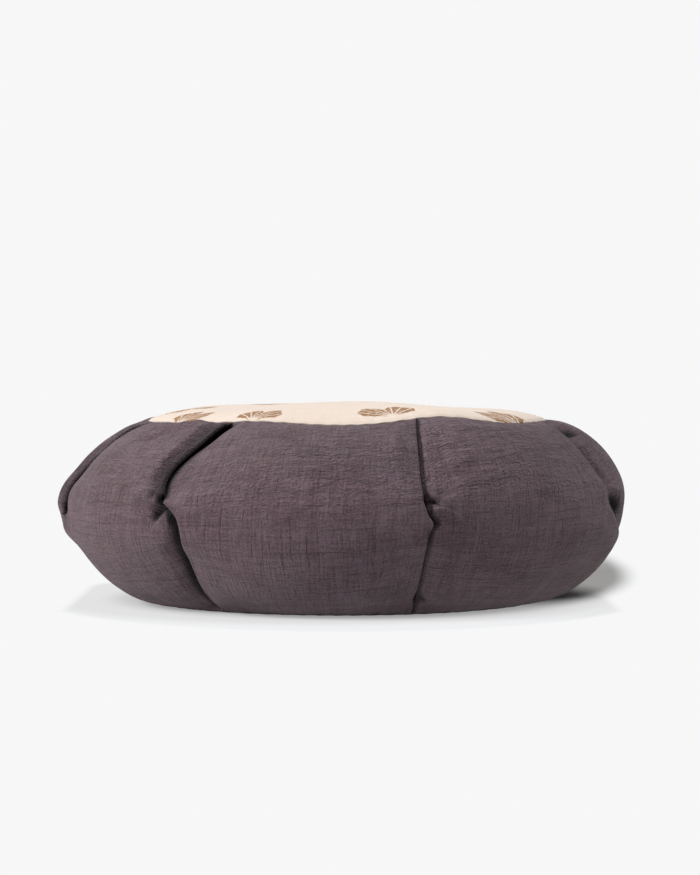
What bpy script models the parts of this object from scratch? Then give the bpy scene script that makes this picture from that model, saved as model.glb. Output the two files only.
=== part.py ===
"""Round meditation cushion: a tightly filled, pleated side band between a crowned top and a flat base panel.

Metres, +Z up. The origin is on the floor under the cushion's middle. An azimuth of 0 degrees faces the
front (-Y) and grows towards +X. A level runs from 0 at the bottom seam, over 0.5 at the belly, to 1 at the
top seam.
"""

import math
from collections import namedtuple

import bmesh
import bpy
import numpy as np

MM = 0.001

# Driving dimensions.
BELLY_RADIUS = 0.2095
BELLY_HEIGHT = 0.0682
BELLY_TILT = 0.0022  # how much higher the belly is at the right (+X), and lower at the left
SEAM_RADIUS = 0.149
TOP_SHIFT = 0.0037  # how far the top panel has slipped to the right
TOP_SEAM_HEIGHT = 0.1352
BOTTOM_SEAM_HEIGHT = 0.0012
CROWN_RISE = 0.0096
CROWN_POWER = 6.0
CLOTH = 2.0 * MM
GAP = 0.3 * MM
RECESS = 2.4 * MM  # how deep both panels lie in the band
RECESS_RADIUS = SEAM_RADIUS - GAP
TOP_RADIUS = SEAM_RADIUS - GAP * 2.0
BASE_RADIUS = SEAM_RADIUS - GAP * 3.0
FLOOR_CLEARANCE = 0.5 * MM

# The filled band's outline between its seams: a quarter of a superellipse above the belly and one below it.
# The exponents are those halfway between two pleats and those on a pleat, where the cloth is drawn
# straighter.
UPPER_FULL, UPPER_DRAWN = 1.92, 1.42
LOWER_FULL, LOWER_DRAWN = 1.9, 1.33

# How the cloth laps over itself at a pleat. Lean is how far the slit behind the fold lies over, in degrees:
# 90 is flat under the cloth on its left as seen from outside, and -90 under the cloth on its right. Then,
# in millimetres, the height of the rolled edge, how far the cloth it covers dips below it, and over what
# distance.
Lap = namedtuple("Lap", "lean ridge dip run")

# One row for each pleat, in order round the cushion. Its path is the azimuth of the fold's edge at evenly
# spaced levels, from the bottom seam to the top seam. Turn is the level where its lap changes from the
# lower one to the upper one. Full is how round the cloth after the pleat is. Tuck is the slit's depth at
# the seams, roll the radius of the fold's edge at the belly, and lift how far the pleat raises the top
# seam, in millimetres.
Pleat = namedtuple("Pleat", "path turn full tuck roll lift down up")
PLEATS = (
    Pleat((-84.0, -85.0, -83.0, -80.5, -83.5, -76.5, -69.0), 0.49, 0.75, 18, 2.2, 1.0,
          Lap(-62, 0.5, 4.0, 26), Lap(56, 3.2, 3.5, 18)),
    Pleat((-33.6, -34.0, -32.8, -32.8, -38.3, -34.5, -32.6), 0.55, 1.00, 17, 2.2, 3.0,
          Lap(-58, 0.8, 7.5, 18), Lap(60, 4.8, 0.6, 26)),
    Pleat((19.0, 17.4, 16.6, 16.2, 15.3, 16.6, 18.8), 0.59, 1.00, 20, 1.4, 6.0,
          Lap(46, 0.8, 3.2, 24), Lap(44, 0.8, 2.4, 26)),
    Pleat((98.0, 97.0, 89.0, 68.4, 65.8, 66.2, 68.4), 0.53, 1.00, 19, 1.5, 1.0,
          Lap(66, 0.5, 3.0, 30), Lap(70, 1.2, 5.5, 28)),
    Pleat((122.0, 120.0, 114.0, 107.0, 106.0, 107.5, 108.5), 0.50, 0.80, 18, 2.4, 2.0,
          Lap(60, 1.0, 2.5, 30), Lap(58, 1.5, 2.0, 32)),
    Pleat((153.0, 152.0, 151.0, 153.0, 151.5, 150.0, 149.5), 0.55, 0.90, 18, 3.0, 3.0,
          Lap(-60, 1.0, 6.0, 18), Lap(60, 3.8, 1.5, 26)),
    Pleat((196.0, 195.0, 193.0, 191.0, 194.0, 195.5, 196.0), 0.52, 0.80, 19, 1.8, 1.0,
          Lap(-54, 0.6, 2.5, 28), Lap(-50, 1.0, 2.5, 30)),
    Pleat((238.0, 239.0, 240.5, 241.0, 239.0, 238.5, 238.0), 0.57, 0.40, 18, 2.4, 3.0,
          Lap(-62, 1.0, 3.5, 25), Lap(-56, 1.5, 3.0, 28)),
)

# Where a pleat gapes: its row, the level, the width in millimetres, over what share of the height, and the
# share by which its lean opens.
Gape = namedtuple("Gape", "pleat level width spread opening")
GAPES = (
    Gape(0, 0.500, 3.0, 0.040, 0.0),
    Gape(1, 0.570, 1.6, 0.030, 0.0),
    Gape(1, 0.910, 3.5, 0.080, 0.0),
    Gape(2, 0.400, 1.2, 0.070, 0.0),
    Gape(2, 0.620, 3.0, 0.030, 0.0),
    Gape(3, 0.530, 12.0, 0.070, 0.5),
    Gape(3, 0.880, 3.0, 0.060, 0.0),
    Gape(4, 0.500, 4.0, 0.060, 0.0),
    Gape(5, 0.560, 3.0, 0.040, 0.0),
    Gape(6, 0.520, 6.0, 0.060, 0.3),
    Gape(7, 0.570, 5.0, 0.060, 0.2),
)

# Short jogs in a pleat's path: its row, the level, how far it steps aside in degrees, and over what share.
Jog = namedtuple("Jog", "pleat level azimuth spread")
JOGS = (
    Jog(1, 0.480, 0.4, 0.035),
    Jog(1, 0.555, -2.2, 0.042),
    Jog(2, 0.490, 1.2, 0.024),
    Jog(3, 0.530, 2.0, 0.070),
    Jog(4, 0.480, 1.2, 0.030),
    Jog(6, 0.540, -1.2, 0.030),
)
TURN_BAND = 0.06  # half the share of the height over which a twisted pleat changes its lap
SEAM_FADE = 0.045  # the share over which every slit closes before it meets a seam
BELLY_BAND = 0.28  # how far from the belly the folds' belly sizes reach
SEAM_ROLL = 1.2 * MM
BELLY_TUCK = 9.0 * MM
SLIT = 1.3 * MM
CLOSED = 0.15 * MM  # the fold's radius and the slit's opening where a pleat meets a seam
CLOSED_DEPTH = 0.45 * MM
CLOSED_LEAN = 25.0
GAPE_SPREAD = 2.4  # how far a gape's hollow reaches, in its own widths
GAPE_REACH = 3.0 * MM  # and its least reach
ROUND_BELLY = math.radians(35.0)
RIDGE_PLACE = 7.0 * MM
RIDGE_WIDTH = 5.5 * MM
RIDGE_GROWTH = 0.9  # how much broader a rolled edge is at the top seam
RIDGE_FADE = 0.14  # the share of the height over which it flattens towards a seam
LIFT_WIDTH = 15.0  # degrees on either side of a pleat
LIFT_PLACE = 7.0
SEAM_SAG = 2.0 * MM
SEAM_DRAW = 1.4 * MM
SEAM_DRAW_BAND = 0.035

# Low swellings of the fill, a row for each: azimuth, level, half angle, half share of the height, and
# height.
Swelling = namedtuple("Swelling", "azimuth level spread_azimuth spread_level height")
SWELLINGS = (
    Swelling(-8.0, 0.42, 20.0, 0.20, 2.0 * MM),
    Swelling(42.0, 0.62, 16.0, 0.18, 2.5 * MM),
    Swelling(-56.0, 0.56, 14.0, 0.20, 2.0 * MM),
    Swelling(79.0, 0.56, 5.0, 0.12, 2.5 * MM),
    Swelling(129.0, 0.45, 16.0, 0.20, 2.0 * MM),
    Swelling(172.0, 0.58, 17.0, 0.20, 1.5 * MM),
    Swelling(217.0, 0.42, 15.0, 0.18, 2.0 * MM),
    Swelling(272.0, 0.52, 8.0, 0.16, 1.8 * MM),
    Swelling(-71.0, 0.52, 7.0, 0.25, -3.5 * MM),
)

# Soft humps and hollows of the crown: x, y, radius and height.
Hump = namedtuple("Hump", "x y radius height")
HUMPS = (
    Hump(0.020, 0.000, 0.060, 2.8 * MM),
    Hump(0.080, 0.030, 0.045, -4.4 * MM),
    Hump(0.080, -0.050, 0.040, -1.8 * MM),
    Hump(-0.060, -0.060, 0.040, -3.4 * MM),
    Hump(-0.060, 0.070, 0.045, -0.8 * MM),
)

# How finely the surfaces are divided.
LEVEL_STOPS = (0.0, 0.04, 0.12, 0.45, 0.66, 0.92, 0.97, 1.0)
LEVEL_STEPS = (2, 2, 6, 7, 5, 2, 2)
ARC_STEPS = 3
PANEL_STEPS = 10
PANEL_CROWDING = 0.45
CROWN_RINGS = 5
BASE_POINTS = 8
BASE_RESOLUTION = 12

PLUM = (0.130, 0.092, 0.102, 1.0)
CREAM = (0.863, 0.745, 0.610, 1.0)
CLOTH_ROUGHNESS = 0.9


# ---- small curves -------------------------------------------------------------------------------------


def smooth(share):
    """0 below 0, 1 above 1 and an even S between them."""
    share = np.clip(share, 0.0, 1.0)
    return share * share * (3.0 - 2.0 * share)


def bell(distance):
    return np.exp(-np.square(distance))


def angle_between(first, second):
    """Degrees from the second azimuth to the first, from -180 to 180."""
    return (np.asarray(first) - second + 180.0) % 360.0 - 180.0


def along_path(path, level):
    """The value at a level on the smooth curve through evenly spaced values."""
    place = level * (len(path) - 1)
    index = min(int(place), len(path) - 2)
    share = place - index
    start, end = path[index], path[index + 1]
    slope_in = (end - path[max(index - 1, 0)]) / 2.0
    slope_out = (path[min(index + 2, len(path) - 1)] - start) / 2.0
    blend = share * share * (3.0 - 2.0 * share)
    ease_in = share * (1.0 - share) ** 2
    ease_out = share * share * (1.0 - share)
    return start + (end - start) * blend + slope_in * ease_in - slope_out * ease_out


def level_rows():
    """The levels of the band's rows, closer together at the seams and round the mouths."""
    rows = [
        np.linspace(start, end, steps + 1)[:-1]
        for start, end, steps in zip(LEVEL_STOPS, LEVEL_STOPS[1:], LEVEL_STEPS)
    ]
    return [float(level) for level in np.concatenate([*rows, [LEVEL_STOPS[-1]]])]


# ---- the outline of the filled band, without its pleats -----------------------------------------------


def fullness(azimuth):
    """0 on a pleat, and the fullness given in the table halfway to the next one."""
    folds = [along_path(pleat.path, 0.5) for pleat in PLEATS]
    after = [*folds[1:], folds[0] + 360.0]
    share = np.zeros_like(azimuth)
    for pleat, start, end in zip(PLEATS, folds, after):
        along = ((azimuth - start) % 360.0) / (end - start)
        share = np.where(along < 1.0, pleat.full * np.sin(math.pi * np.clip(along, 0.0, 1.0)), share)
    return share


def seam_wave(azimuth):
    """How far the top seam stands above its mean height."""
    lifted = MM * sum(
        pleat.lift * bell(angle_between(azimuth, pleat.path[-1] + LIFT_PLACE) / LIFT_WIDTH)
        for pleat in PLEATS
    )
    return lifted - SEAM_SAG


def swelling(azimuth, level):
    return sum(
        row.height
        * bell(angle_between(azimuth, row.azimuth) / row.spread_azimuth)
        * bell((level - row.level) / row.spread_level)
        for row in SWELLINGS
    )


def band_surface(azimuth, level, out):
    """Points of the band at these azimuths on one level, moved out along the outline's normal."""
    slope = (level - 0.5) * math.pi
    turn = np.radians(azimuth)
    full = fullness(azimuth)
    squared = smooth(abs(slope) / ROUND_BELLY)
    belly = BELLY_HEIGHT + BELLY_TILT * np.sin(turn)
    if level >= 0.5:
        power = UPPER_DRAWN + (UPPER_FULL - UPPER_DRAWN) * full
        height = TOP_SEAM_HEIGHT + seam_wave(azimuth) - belly
    else:
        power = LOWER_DRAWN + (LOWER_FULL - LOWER_DRAWN) * full
        height = belly - BOTTOM_SEAM_HEIGHT
    power = 2.0 + (power - 2.0) * squared
    reach = BELLY_RADIUS - SEAM_RADIUS
    across = max(math.cos(slope), 0.0) ** (2.0 / power)
    upward = abs(math.sin(slope)) ** (2.0 / power)
    normal_out = across ** (power - 1.0) / reach
    normal_up = math.copysign(1.0, slope) * upward ** (power - 1.0) / height
    length = np.hypot(normal_out, normal_up)
    bulge = swelling(azimuth, level) + out
    radius = SEAM_RADIUS + reach * across + bulge * normal_out / length
    rise = belly + math.copysign(1.0, slope) * height * upward + bulge * normal_up / length
    rise = np.maximum(rise, FLOOR_CLEARANCE)
    shift = TOP_SHIFT * max(math.sin(slope), 0.0)
    return np.stack([shift + radius * np.sin(turn), -radius * np.cos(turn), rise], axis=1)


# ---- the pleats ---------------------------------------------------------------------------------------


def arc(centre, radius, start, end, steps):
    """Points on a circle, from one angle to another in radians."""
    turn = np.linspace(start, end, steps + 1)
    return np.stack([centre[0] + radius * np.cos(turn), centre[1] + radius * np.sin(turn)], axis=1)


def groove(lean, depth, mouth, slit, roll):
    """A pleat's section from left to right, as points (along, out) in metres.

    It turns round the left fold, runs down one wall of the slit, round its end, up the other wall, and
    round onto the cloth at its right. Where the slit leans, the cloth over it is a lip, and the cloth beyond
    the lip starts lower.
    """
    sine, cosine = math.sin(lean), math.cos(lean)
    inward = np.array([-sine, -cosine])
    leftward = np.array([-cosine, sine])
    edge = mouth / 2.0 + roll
    opening = np.array([0.0, -roll - edge * abs(sine)])
    bottom = opening + depth * inward
    left_fold = arc(opening + edge * leftward, roll, math.pi / 2.0, -lean, ARC_STEPS)
    right_fold = arc(opening - edge * leftward, roll, math.pi - lean, math.pi / 2.0, ARC_STEPS)
    end = arc(bottom, slit / 2.0, math.pi - lean, 2.0 * math.pi - lean, 2)
    return np.concatenate([left_fold, end, right_fold])


# How the cloth beside a pleat lies. It starts below the band's outline by a drop for the lap and a hollow
# for the gape, and has a rolled edge. Each has the distance it reaches.
Side = namedtuple("Side", "drop run hollow hollow_run ridge ridge_spread")


def fold_azimuth(pleat, level):
    """Where the fold's edge is at a level."""
    jogs = [jog for jog in JOGS if PLEATS[jog.pleat] is pleat]
    aside = sum(jog.azimuth * float(bell((level - jog.level) / jog.spread)) for jog in jogs)
    return along_path(pleat.path, level) + aside


def gape_at(pleat, level):
    """How far the pleat gapes at a level, and the share by which its lean opens."""
    rows = [row for row in GAPES if PLEATS[row.pleat] is pleat]
    near = [float(bell((level - row.level) / row.spread)) for row in rows]
    width = sum(row.width * MM * share for row, share in zip(rows, near))
    return width, max((row.opening * share for row, share in zip(rows, near)), default=0.0)


def lap_at(pleat, level):
    """The pleat's lap at a level, turned nearly closed at both seams."""
    upper = float(smooth((level - pleat.turn) / TURN_BAND / 2.0 + 0.5))
    lap = Lap(*(low + (high - low) * upper for low, high in zip(pleat.down, pleat.up)))
    near_seam = 1.0 - float(smooth(min(level, 1.0 - level) / SEAM_FADE))
    lean = lap.lean * (1.0 - gape_at(pleat, level)[1])
    lean += (math.copysign(CLOSED_LEAN, lap.lean) - lean) * near_seam
    ridge = lap.ridge * MM * float(smooth(min(level, 1.0 - level) / RIDGE_FADE))
    return Lap(math.radians(lean), ridge, lap.dip * MM, lap.run * MM)


def groove_at(pleat, level):
    """The pleat's section at a level, and how the cloth on its left and right lies beside it."""
    belly = bell((level - 0.5) / BELLY_BAND)
    open_share = float(smooth(min(level, 1.0 - level) / SEAM_FADE))
    open_roll = SEAM_ROLL + (pleat.roll * MM - SEAM_ROLL) * belly
    open_depth = pleat.tuck * MM + (BELLY_TUCK - pleat.tuck * MM) * belly
    roll = CLOSED + (open_roll - CLOSED) * open_share
    depth = CLOSED_DEPTH + (open_depth - CLOSED_DEPTH) * open_share
    slit = CLOSED + (SLIT - CLOSED) * open_share
    lap = lap_at(pleat, level)
    gape = gape_at(pleat, level)[0] * open_share
    dip = lap.dip * open_share
    over_left, over_right = max(math.sin(lap.lean), 0.0), max(-math.sin(lap.lean), 0.0)
    drop = slit + 2.0 * roll + dip
    spread = 1.0 + RIDGE_GROWTH * float(smooth((level - pleat.turn) / (1.0 - pleat.turn)))
    reach = max(gape * GAPE_SPREAD, GAPE_REACH)
    left = Side(drop * over_right, lap.run, gape * over_right, reach, lap.ridge * over_left, spread)
    right = Side(drop * over_left, lap.run, gape * over_left, reach, lap.ridge * over_right, spread)
    return groove(lap.lean, depth, slit + gape + dip, slit, roll), (left, right)


def beside(distance, side):
    """Heights of the cloth at distances from a pleat, above the band's own outline."""
    place, width = RIDGE_PLACE * side.ridge_spread, RIDGE_WIDTH * side.ridge_spread
    return (
        side.ridge * bell((distance - place) / width) * smooth(distance / place)
        - side.drop * np.exp(-3.0 * distance / side.run)
        - side.hollow * (1.0 - smooth(distance / side.hollow_run))
    )


def section(level):
    """Azimuths and heights of the points round the band at one level."""
    centres = [fold_azimuth(pleat, level) for pleat in PLEATS]
    radius = np.hypot(*band_surface(np.array([0.0]), level, 0.0)[0, :2])
    per_metre = math.degrees(1.0 / radius)
    grooves = [groove_at(pleat, level) for pleat in PLEATS]
    steps = np.linspace(0.0, 1.0, PANEL_STEPS + 1)[1:-1]
    share = steps - PANEL_CROWDING * np.sin(2.0 * math.pi * steps) / (2.0 * math.pi)
    azimuths, heights = [], []
    for index, (points, (_, right_side)) in enumerate(grooves):
        following = (index + 1) % len(PLEATS)
        next_points, (left_side, _) = grooves[following]
        whole_turn = 360.0 if following == 0 else 0.0
        azimuths.append(centres[index] + points[:, 0] * per_metre)
        heights.append(points[:, 1])
        start = azimuths[-1][-1]
        end = centres[following] + whole_turn + next_points[0, 0] * per_metre
        length = (end - start) / per_metre
        azimuths.append(start + (end - start) * share)
        after = beside(share * length, right_side)
        before = beside((1.0 - share) * length, left_side)
        heights.append(after + before)
    return np.concatenate(azimuths), np.concatenate(heights)


def crown_azimuths():
    """The top panel's azimuths, which are the band's own without the folds of its pleats."""
    azimuth = section(1.0)[0].reshape(len(PLEATS), -1)
    groove_points = azimuth.shape[1] - (PANEL_STEPS - 1)
    middle = azimuth[:, groove_points // 2 : groove_points // 2 + 1]
    return np.concatenate([middle, azimuth[:, groove_points:]], axis=1).ravel()


# ---- the crown ----------------------------------------------------------------------------------------


def crown_height(azimuth, share):
    """Height of the top panel's upper face, at a share of the seam's radius from the middle."""
    radius = SEAM_RADIUS * share
    turn = np.radians(azimuth)
    x, y = radius * np.sin(turn), -radius * np.cos(turn)
    dome = CROWN_RISE * (1.0 - share**CROWN_POWER)
    wave = seam_wave(azimuth) * share**3
    humps = sum(row.height * bell(np.hypot(x - row.x, y - row.y) / row.radius) for row in HUMPS)
    return TOP_SEAM_HEIGHT + dome + wave + humps * (1.0 - share**4)


def crown_ring(azimuth, share, below):
    radius = SEAM_RADIUS * share
    turn = np.radians(azimuth)
    rise = crown_height(azimuth, share) - below
    return np.stack([TOP_SHIFT + radius * np.sin(turn), -radius * np.cos(turn), rise], axis=1)


def crown_middle(below):
    return (TOP_SHIFT, 0.0, float(crown_height(np.array([0.0]), 0.0)[0]) - below)


# ---- Blender objects ----------------------------------------------------------------------------------


def cloth_material(name, colour):
    material = bpy.data.materials.new(name)
    material.use_nodes = True
    shader = material.node_tree.nodes["Principled BSDF"]
    shader.inputs["Base Color"].default_value = colour
    shader.inputs["Roughness"].default_value = CLOTH_ROUGHNESS
    shader.inputs["Metallic"].default_value = 0.0
    return material


def loft(name, rings, first_middle, last_middle):
    """A mesh through rings of equally many points. A middle point closes an end, None leaves it open."""
    shape = bmesh.new()
    rows = [[shape.verts.new(point) for point in ring] for ring in rings]
    count = len(rows[0])
    for lower, upper in zip(rows, rows[1:]):
        for here in range(count):
            there = (here + 1) % count
            shape.faces.new((lower[here], lower[there], upper[there], upper[here]))
    for middle, row, flip in ((first_middle, rows[0], True), (last_middle, rows[-1], False)):
        if middle is None:
            continue
        tip = shape.verts.new(middle)
        for here in range(count):
            pair = (row[here], row[(here + 1) % count])
            shape.faces.new((*(reversed(pair) if flip else pair), tip))
    mesh = bpy.data.meshes.new(name)
    shape.to_mesh(mesh)
    shape.free()
    mesh.shade_smooth()
    mesh.set_sharp_from_angle(angle=math.radians(50.0))
    return mesh


def add_object(name, data, material, collection):
    data.materials.append(material)
    made = bpy.data.objects.new(name, data)
    collection.objects.link(made)
    return made


def side_band(material, collection):
    """The pleated band and its filling as one solid, recessed above and below for the two panels."""
    levels = level_rows()
    sections = [section(level) for level in levels]
    rings = []
    for level, (azimuth, out) in zip(levels, sections):
        drawn = SEAM_DRAW * (bell((1.0 - level) / SEAM_DRAW_BAND) if level > 0.5 else 0.0)
        rings.append(band_surface(azimuth, level, out - drawn))
    base_azimuth, top_azimuth = sections[0][0], sections[-1][0]
    turn = np.radians(base_azimuth)
    foot = np.stack([np.sin(turn), -np.cos(turn), np.ones_like(turn)], axis=1)
    foot *= (RECESS_RADIUS, RECESS_RADIUS, RECESS)
    shares = np.linspace(RECESS_RADIUS / SEAM_RADIUS, 0.0, CROWN_RINGS + 1)[:-1]
    crown = [crown_ring(top_azimuth, share, RECESS) for share in shares]
    mesh = loft("side_band", [foot, *rings, *crown], (0.0, 0.0, RECESS), crown_middle(RECESS))
    return add_object("side_band", mesh, material, collection)


def top_panel(material, collection):
    """The round crowned panel, a sheet that lies on the filling inside the top seam."""
    azimuth = crown_azimuths()
    shares = np.linspace(TOP_RADIUS / SEAM_RADIUS, 0.0, CROWN_RINGS + 1)[:-1]
    rings = [crown_ring(azimuth, share, 0.0) for share in shares]
    mesh = loft("top_panel", rings, None, crown_middle(0.0))
    made = add_object("top_panel", mesh, material, collection)
    sheet = made.modifiers.new("cloth thickness", "SOLIDIFY")
    sheet.thickness = CLOTH
    sheet.offset = -1.0
    sheet.use_rim = True
    return made


def base_panel(material, collection):
    """The flat round panel that the cushion rests on."""
    outline = bpy.data.curves.new("base_panel", "CURVE")
    outline.dimensions = "2D"
    outline.fill_mode = "BOTH"
    outline.extrude = CLOTH / 2.0
    outline.resolution_u = BASE_RESOLUTION
    handle = BASE_RADIUS * math.tan(math.pi / BASE_POINTS / 2.0) * 4.0 / 3.0
    spline = outline.splines.new("BEZIER")
    spline.bezier_points.add(BASE_POINTS - 1)
    spline.use_cyclic_u = True
    for index, point in enumerate(spline.bezier_points):
        turn = 2.0 * math.pi * index / BASE_POINTS
        place = np.array([math.cos(turn), math.sin(turn), 0.0]) * BASE_RADIUS
        tangent = np.array([-math.sin(turn), math.cos(turn), 0.0]) * handle
        point.co = place
        point.handle_left = place - tangent
        point.handle_right = place + tangent
    made = add_object("base_panel", outline, material, collection)
    made.location.z = CLOTH / 2.0
    return made


def clear_scene():
    for item in list(bpy.data.objects):
        bpy.data.objects.remove(item, do_unlink=True)


def main():
    clear_scene()
    collection = bpy.data.collections.new("meditation cushion")
    bpy.context.scene.collection.children.link(collection)
    plum = cloth_material("plum crinkled cloth", PLUM)
    cream = cloth_material("cream printed cloth", CREAM)
    side_band(plum, collection)
    top_panel(cream, collection)
    base_panel(plum, collection)


main()
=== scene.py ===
"""The looks of the pleated meditation cushion: its simulated cloth, its print, the studio and the camera."""

import math
from collections import namedtuple
from functools import partialmethod

import bpy
import numpy as np
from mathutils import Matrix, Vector, noise


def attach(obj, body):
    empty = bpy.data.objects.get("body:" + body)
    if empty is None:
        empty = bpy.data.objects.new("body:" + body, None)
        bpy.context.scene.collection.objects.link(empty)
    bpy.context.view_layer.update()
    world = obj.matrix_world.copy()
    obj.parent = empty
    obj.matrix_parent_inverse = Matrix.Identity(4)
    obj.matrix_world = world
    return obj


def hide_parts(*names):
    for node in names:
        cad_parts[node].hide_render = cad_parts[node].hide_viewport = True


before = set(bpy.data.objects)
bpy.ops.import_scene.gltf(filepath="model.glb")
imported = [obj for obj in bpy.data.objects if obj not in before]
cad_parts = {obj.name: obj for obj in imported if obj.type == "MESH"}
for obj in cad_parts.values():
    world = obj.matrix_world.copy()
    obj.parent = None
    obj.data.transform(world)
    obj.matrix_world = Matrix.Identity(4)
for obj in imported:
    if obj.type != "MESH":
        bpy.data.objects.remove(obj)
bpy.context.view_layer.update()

MM = 0.001


def table(fields, *rows):
    """Rows with named values."""
    kind = namedtuple("Row", fields)
    return [kind(*row) for row in rows]


# ---- sizes, in metres ----

# An azimuth of 0 degrees faces the front (-Y) and grows towards +X. A level runs from 0 at the bottom seam, over
# 0.5 at the belly, to 1 at the top seam.

BELLY_RADIUS = 0.2095
BELLY_HEIGHT = 0.0682
BELLY_TILT = 0.0022
SEAM_RADIUS = 0.149
TOP_SHIFT = 0.0037
TOP_SEAM_HEIGHT = 0.1352
BOTTOM_SEAM_HEIGHT = 0.0012
CROWN_RISE = 0.0096
CROWN_POWER = 6
CLOTH = 2 * MM
GAP = 0.3 * MM
RECESS = 2.4 * MM
RECESS_RADIUS = SEAM_RADIUS - GAP
TOP_RADIUS = SEAM_RADIUS - GAP * 2
BASE_RADIUS = SEAM_RADIUS - GAP * 3.0
FLOOR_CLEARANCE = 0.5 * MM

UPPER_FULL, UPPER_DRAWN = 1.92, 1.42
LOWER_FULL, LOWER_DRAWN = 1.9, 1.33

# Below the belly the pleat on the right sweeps round to the back, so the cloth stays full where it stood above.
SWEPT_AZIMUTH = 72
SWEPT_SPREAD = 17
SWEPT_FULL = 0.93
SWEPT_FADE = 0.08

# How a pleat's cloth laps: its lean in degrees, above 0 with the left cloth over the right. Then in millimetres,
# the height of the rolled edge, how far the cloth beside it dips, and over what distance.
Lap = namedtuple("Lap", "lean ridge dip run")

# Path: azimuths at evenly spaced levels. Turn is the level where the lap changes from down to up. Tuck, roll and
# lift in millimetres.
Pleat = namedtuple("Pleat", "path turn full tuck roll lift down up")
PLEATS = (
    Pleat((-84, -85, -83, -80.5, -83.5, -76.5, -69), 0.49, 0.75, 18, 2.2, 1,
          Lap(-62, 0.5, 4, 26), Lap(56, 3.2, 3.5, 18)),
    Pleat((-33.6, -34, -32.8, -32.8, -38.3, -34.5, -32.6), 0.572, 1, 17, 2.2, 3,
          Lap(-58, 0.8, 7.5, 23), Lap(60, 4.8, 0.6, 26)),
    Pleat((19, 17.4, 16.6, 16.2, 15.3, 16.6, 18.8), 0.59, 1, 20, 1.4, 6,
          Lap(46, 0.8, 0.3, 4), Lap(44, 0.8, 0.3, 4)),
    Pleat((98, 97, 87, 69.8, 65.8, 66.2, 68.4), 0.47, 1, 19, 1.5, 1,
          Lap(66, 0.5, 0.8, 40), Lap(70, 1.4, 5.5, 30)),
    Pleat((122, 120, 114, 107, 106, 107.5, 108.5), 0.5, 0.8, 18, 2.4, 2,
          Lap(60, 1, 2.5, 30), Lap(58, 1.5, 2, 32)),
    Pleat((153, 152, 151, 153, 151.5, 150, 149.5), 0.55, 0.9, 18, 3, 3,
          Lap(-60, 1, 6, 18), Lap(60, 3.8, 1.5, 26)),
    Pleat((196, 195, 193, 191, 194, 195.5, 196), 0.52, 0.8, 19, 1.8, 1,
          Lap(-54, 0.6, 2.5, 28), Lap(-50, 1, 2.5, 30)),
    Pleat((238, 239, 240.5, 241, 239, 238.5, 238), 0.57, 0.4, 18, 2.4, 3,
          Lap(-62, 1, 3.5, 25), Lap(-56, 1.5, 3, 28)),
)

# Where a pleat, named by its row, gapes: the width in millimetres, and the share by which its lean opens.
GAPES = table(
    "pleat level width spread opening",
    (0, 0.5, 3, 0.04, 0), (1, 0.91, 3.5, 0.08, 0), (2, 0.16, 3.5, 0.03, 0), (2, 0.4, 1, 0.07, 0),
    (2, 0.505, 2.4, 0.024, 0), (2, 0.574, 4.2, 0.032, 0), (2, 0.8, 0.8, 0.16, 0), (3, 0.525, 9, 0.045, 0.5),
    (3, 0.872, 5, 0.045, 0), (4, 0.5, 4, 0.06, 0), (5, 0.56, 3, 0.04, 0), (6, 0.52, 6, 0.06, 0.3),
    (7, 0.57, 5, 0.06, 0.2),
)

# Short jogs in a pleat's path.
JOGS = table(
    "pleat level azimuth spread",
    (1, 0.572, -2.1, 0.036), (2, 0.492, 1.3, 0.026), (4, 0.48, 1.2, 0.03), (6, 0.54, -1.2, 0.03),
)
TURN_BAND = 0.045
SEAM_FADE = 0.045
BELLY_BAND = 0.28
SEAM_ROLL = 1.2 * MM
BELLY_TUCK = 9 * MM
SLIT = 1.3 * MM
CLOSED = 0.15 * MM
CLOSED_DEPTH = 0.45 * MM
CLOSED_LEAN = 25
GAPE_SPREAD = 2.4
GAPE_REACH = 3 * MM
ROUND_BELLY = math.radians(35.0)
RIDGE_PLACE = 7 * MM
RIDGE_WIDTH = 5.5 * MM
RIDGE_GROWTH = 0.9
RIDGE_FADE = 0.14
RIDGE_FOOT = 2.1
LIFT_WIDTH = 15
LIFT_PLACE = 7
SEAM_SAG = 2 * MM
SEAM_DRAW = 1.4 * MM
SEAM_DRAW_BAND = 0.035
DIP_DECAY = 3

# The painted shade of a pleat: through its groove from the lap's edge to the cloth under it, below the lap, and on
# the lap's own flank. Covered runs from 0 for flat cloth to 1 for a wall.
GROOVE_KNOTS = (0.0, 0.14, 0.30, 0.70, 1.0)
LEAST_UNDER = 0.45
BENEATH_SHADE = 0.94
BENEATH_DROP = 7 * MM
BENEATH_COVERED = 0.40
BENEATH_SOFT = 0.55
FLANK_SHADE = 0.78
FLANK_RIDGE = 3.5 * MM
FLANK_REACH = 1.1

# Swellings and hollows of the band, with half sizes. Heights are in millimetres.
SWELLINGS = table(
    "azimuth level wide tall height",
    (-8, 0.42, 20, 0.2, 2), (42, 0.62, 16, 0.18, 2.5), (-56, 0.56, 14, 0.2, 2),
    (79, 0.56, 5, 0.12, 2.5), (129, 0.45, 16, 0.2, 2), (172, 0.58, 17, 0.2, 1.5),
    (217, 0.42, 15, 0.18, 2), (272, 0.52, 8, 0.16, 1.8), (-71, 0.52, 7, 0.25, -3.5),
    # the small pockets and puckers that only the cloth shows
    (73.5, 0.88, 3, 0.045, -2), (-50, 0.62, 4.5, 0.2, -1.2), (24, 0.1, 4, 0.05, -1.6),
    (-27, 0.09, 3.5, 0.05, -1.2),
)

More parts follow.
